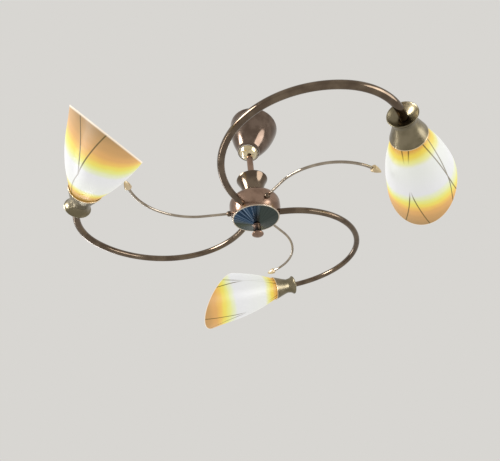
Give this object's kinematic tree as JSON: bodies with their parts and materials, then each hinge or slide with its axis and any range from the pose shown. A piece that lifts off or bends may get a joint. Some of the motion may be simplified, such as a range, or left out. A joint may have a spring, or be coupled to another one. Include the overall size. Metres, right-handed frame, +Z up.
{
  "type": "multi arm chandelier",
  "caption": "Hanging ceiling lamp with curled tube arms round a drum hub, slanting horn-shaped glass shades, slim spear-tipped rods, a trumpet cup on the stem and a swivel canopy.",
  "frame": {"origin": "centre of the ceiling bracket's top face, which lies on the ceiling in the plane of the canopy's rim", "axes": "+Z is up along the plumb stem; +X and +Y are level, with -Y towards the viewer and the first arm's shade to the right; the ceiling face leans 14.5 degrees from level"},
  "size_m": [0.6693, 0.6201, 0.3794],
  "materials": {
    "chrome": "polished nickel-chrome plate",
    "mirror_chrome": "mirror-polished chrome plate",
    "zinc_steel": "zinc-plated steel",
    "brass": "turned brass",
    "nylon": "natural nylon, matt",
    "terminal_plastic": "moulded polyamide, satin",
    "lead_sheath": "silicone-sheathed lead, matt",
    "lampholder_plastic": "moulded thermoset, satin",
    "ring_plastic": "moulded thermoset, satin",
    "cap_aluminium": "rolled aluminium",
    "bulb_glass": "opal white glass, lit",
    "shade_glass": "amber-tinted opal glass with fine brown lines, lit from inside"
  },
  "bodies": {
    "ceiling": {"ceiling_bracket": "zinc_steel", "canopy": "chrome", "canopy_screws": "chrome", "earth_screw": "brass"},
    "seat": {"seat_ring": "nylon"},
    "ball": {"swivel_ball": "chrome"},
    "lamp": {"stem_tube": "chrome", "stem_washer": "zinc_steel", "stem_nut": "zinc_steel", "terminal_block": "terminal_plastic", "stem_lead": "lead_sheath", "stem_cup": "chrome", "cup_nut": "zinc_steel", "hub_drum": "chrome", "hub_nut": "zinc_steel", "cover_bridge": "zinc_steel", "cover_stud": "zinc_steel", "hub_junction": "terminal_plastic", "arm_nipples": "zinc_steel", "arm_nuts": "zinc_steel", "end_nipples": "zinc_steel", "arm_a": "chrome", "arm_lead_a": "lead_sheath", "holder_a": "chrome", "lampholder_a": "lampholder_plastic", "arm_b": "chrome", "arm_lead_b": "lead_sheath", "holder_b": "chrome", "lampholder_b": "lampholder_plastic", "arm_c": "chrome", "arm_lead_c": "lead_sheath", "holder_c": "chrome", "lampholder_c": "lampholder_plastic", "hub_cover": "mirror_chrome"},
    "finial": {"finial": "chrome"},
    "rod_a": {"rod_a": "chrome", "rod_ball_a": "chrome", "rod_nut_a": "zinc_steel", "rod_tip_a": "chrome"},
    "shade_a": {"shade_a": "shade_glass"},
    "shade_ring_a": {"shade_ring_a": "ring_plastic"},
    "bulb_a": {"bulb_a": "bulb_glass", "bulb_cap_a": "cap_aluminium"},
    "rod_b": {"rod_b": "chrome", "rod_ball_b": "chrome", "rod_nut_b": "zinc_steel", "rod_tip_b": "chrome"},
    "shade_b": {"shade_b": "shade_glass"},
    "shade_ring_b": {"shade_ring_b": "ring_plastic"},
    "bulb_b": {"bulb_b": "bulb_glass", "bulb_cap_b": "cap_aluminium"},
    "rod_c": {"rod_c": "chrome", "rod_ball_c": "chrome", "rod_nut_c": "zinc_steel", "rod_tip_c": "chrome"},
    "shade_c": {"shade_c": "shade_glass"},
    "shade_ring_c": {"shade_ring_c": "ring_plastic"},
    "bulb_c": {"bulb_c": "bulb_glass", "bulb_cap_c": "cap_aluminium"}
  },
  "joints": [
    {"name": "swivel_lean", "type": "hinge", "parent": "ceiling", "child": "seat", "pos_m": [-0.0162, -0.01221, -0.07842], "axis": [-0.6018, 0.7986, 0], "range_deg": [-10.5, 39.5]},
    {"name": "swivel_side", "type": "hinge", "parent": "seat", "child": "ball", "pos_m": [-0.0162, -0.01221, -0.07842], "axis": [0.7986, 0.6018, 0], "range_deg": [-20, 20]},
    {"name": "lamp_turn", "type": "hinge", "parent": "ball", "child": "lamp", "pos_m": [-0.0162, -0.01221, -0.07842], "axis": [0, 0, 1], "range_deg": [-170, 170]},
    {"name": "finial_unscrew", "type": "hinge", "parent": "lamp", "child": "finial", "pos_m": [-0.0162, -0.01221, -0.25242], "axis": [0, 0, -1], "range_deg": [0, 1800]},
    {"name": "rod_turn_a", "type": "hinge", "parent": "lamp", "child": "rod_a", "pos_m": [0.00841, -0.05606, -0.23544], "axis": [0.5224, -0.8458, -0.108], "range_deg": [-30, 30]},
    {"name": "shade_turn_a", "type": "hinge", "parent": "lamp", "child": "shade_a", "pos_m": [0.2236, -0.19385, -0.25624], "axis": [0.4265, 0.9023, 0.0628], "continuous": true},
    {"name": "shade_ring_turn_a", "type": "hinge", "parent": "lamp", "child": "shade_ring_a", "pos_m": [0.2236, -0.19385, -0.25624], "axis": [0.4265, 0.9023, 0.0628], "range_deg": [0, 1080]},
    {"name": "bulb_unscrew_a", "type": "hinge", "parent": "lamp", "child": "bulb_a", "pos_m": [0.2236, -0.19385, -0.25624], "axis": [0.4265, 0.9023, 0.0628], "range_deg": [0, 1800]},
    {"name": "rod_turn_b", "type": "hinge", "parent": "lamp", "child": "rod_b", "pos_m": [0.00965, 0.03094, -0.23536], "axis": [0.5578, 0.827, -0.0698], "range_deg": [-30, 30]},
    {"name": "shade_turn_b", "type": "hinge", "parent": "lamp", "child": "shade_b", "pos_m": [0.00782, 0.27803, -0.27016], "axis": [-0.9593, -0.2215, -0.1754], "continuous": true},
    {"name": "shade_ring_turn_b", "type": "hinge", "parent": "lamp", "child": "shade_ring_b", "pos_m": [0.00782, 0.27803, -0.27016], "axis": [-0.9593, -0.2215, -0.1754], "range_deg": [0, 1080]},
    {"name": "bulb_unscrew_b", "type": "hinge", "parent": "lamp", "child": "bulb_b", "pos_m": [0.00782, 0.27803, -0.27016], "axis": [-0.9593, -0.2215, -0.1754], "range_deg": [0, 1800]},
    {"name": "rod_turn_c", "type": "hinge", "parent": "lamp", "child": "rod_c", "pos_m": [-0.0665, -0.01154, -0.23521], "axis": [-1, -0.007, 0.0035], "range_deg": [-30, 30]},
    {"name": "shade_turn_c", "type": "hinge", "parent": "lamp", "child": "shade_c", "pos_m": [-0.28926, -0.13186, -0.23939], "axis": [0.6042, -0.7931, 0.0767], "continuous": true},
    {"name": "shade_ring_turn_c", "type": "hinge", "parent": "lamp", "child": "shade_ring_c", "pos_m": [-0.28926, -0.13186, -0.23939], "axis": [0.6042, -0.7931, 0.0767], "range_deg": [0, 1080]},
    {"name": "bulb_unscrew_c", "type": "hinge", "parent": "lamp", "child": "bulb_c", "pos_m": [-0.28926, -0.13186, -0.23939], "axis": [0.6042, -0.7931, 0.0767], "range_deg": [0, 1800]}
  ]
}
